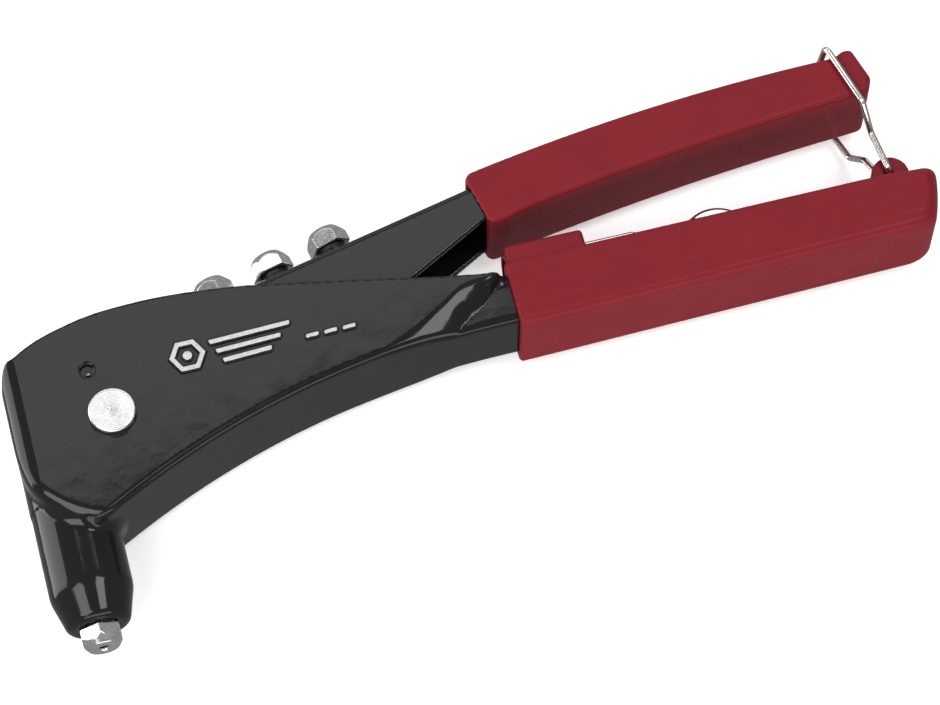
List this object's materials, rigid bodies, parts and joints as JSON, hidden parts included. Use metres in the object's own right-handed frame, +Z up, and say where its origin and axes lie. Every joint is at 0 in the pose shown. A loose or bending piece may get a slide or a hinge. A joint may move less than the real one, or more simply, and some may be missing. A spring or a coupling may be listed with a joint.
{
  "type": "hand riveter",
  "caption": "Two-handled hand riveter: pressed-steel head and barrel, pivoting lever that pulls a jaw case, spare nosepieces, grips and a wire handle clip.",
  "frame": {"origin": "middle of the footprint of the tool lying on its side, at the height of the pivot pin's lower end", "axes": "+X along the fixed handle to its end, +Y from the fixed handle to the lever (the nosepiece points to -Y), +Z up along the lever's pivot"},
  "size_m": [0.238, 0.1085, 0.0311],
  "materials": {
    "black_paint": "glossy black enamel over pressed steel",
    "red_plastic": "satin moulded plastic with a fine grain",
    "bright_steel": "bright zinc-plated turned steel",
    "oiled_steel": "dark oiled steel",
    "nickel_wire": "nickel-plated spring wire and sheet"
  },
  "bodies": {
    "frame": {"body": "black_paint", "body_grip": "red_plastic", "pivot_pin": "bright_steel", "pivot_washer": "bright_steel", "pivot_circlip": "oiled_steel", "pivot_bush": "oiled_steel", "opening_spring": "oiled_steel", "nosepiece_fitted": "bright_steel"},
    "lever": {"lever": "black_paint", "lever_grip": "red_plastic", "spare_nosepiece_1": "bright_steel", "spare_nosepiece_2": "bright_steel", "spare_nosepiece_3": "bright_steel"},
    "jaw_case": {"jaw_case": "oiled_steel", "jaw_case_head": "bright_steel", "jaw_spring": "oiled_steel"},
    "jaws": {"jaw_1": "bright_steel", "jaw_2": "bright_steel", "jaw_3": "bright_steel", "jaw_pusher": "bright_steel"},
    "wire_clip": {"wire_clip": "nickel_wire"},
    "wrench": {"wrench": "nickel_wire"}
  },
  "joints": [
    {"name": "lever_pivot", "type": "hinge", "parent": "frame", "child": "lever", "pos_m": [-0.094, -0.00077, 0.0159], "axis": [0, 0, 1], "range_deg": [0, 50], "deforming": ["opening_spring"]},
    {"name": "jaw_case_slide", "type": "slide", "parent": "frame", "child": "jaw_case", "axis": [0, 1, 0], "range_m": [-0.0123, 0]},
    {"name": "jaws_slide", "type": "slide", "parent": "jaw_case", "child": "jaws", "axis": [0, 1, 0], "range_m": [0, 0.0015], "stiffness_N_per_m": 400, "deforming": ["jaw_spring"]},
    {"name": "clip_swing", "type": "hinge", "parent": "frame", "child": "wire_clip", "pos_m": [0.1088, 0.02063, 0.0159], "axis": [0, 0, 1], "range_deg": [-85, 0]},
    {"name": "wrench_slide", "type": "slide", "parent": "frame", "child": "wrench", "axis": [1, 0, 0], "range_m": [0, 0.024]}
  ],
  "couplings": [
    {"joint": "jaw_case_slide", "follows": "lever_pivot", "m_per_rad": -0.01405}
  ]
}
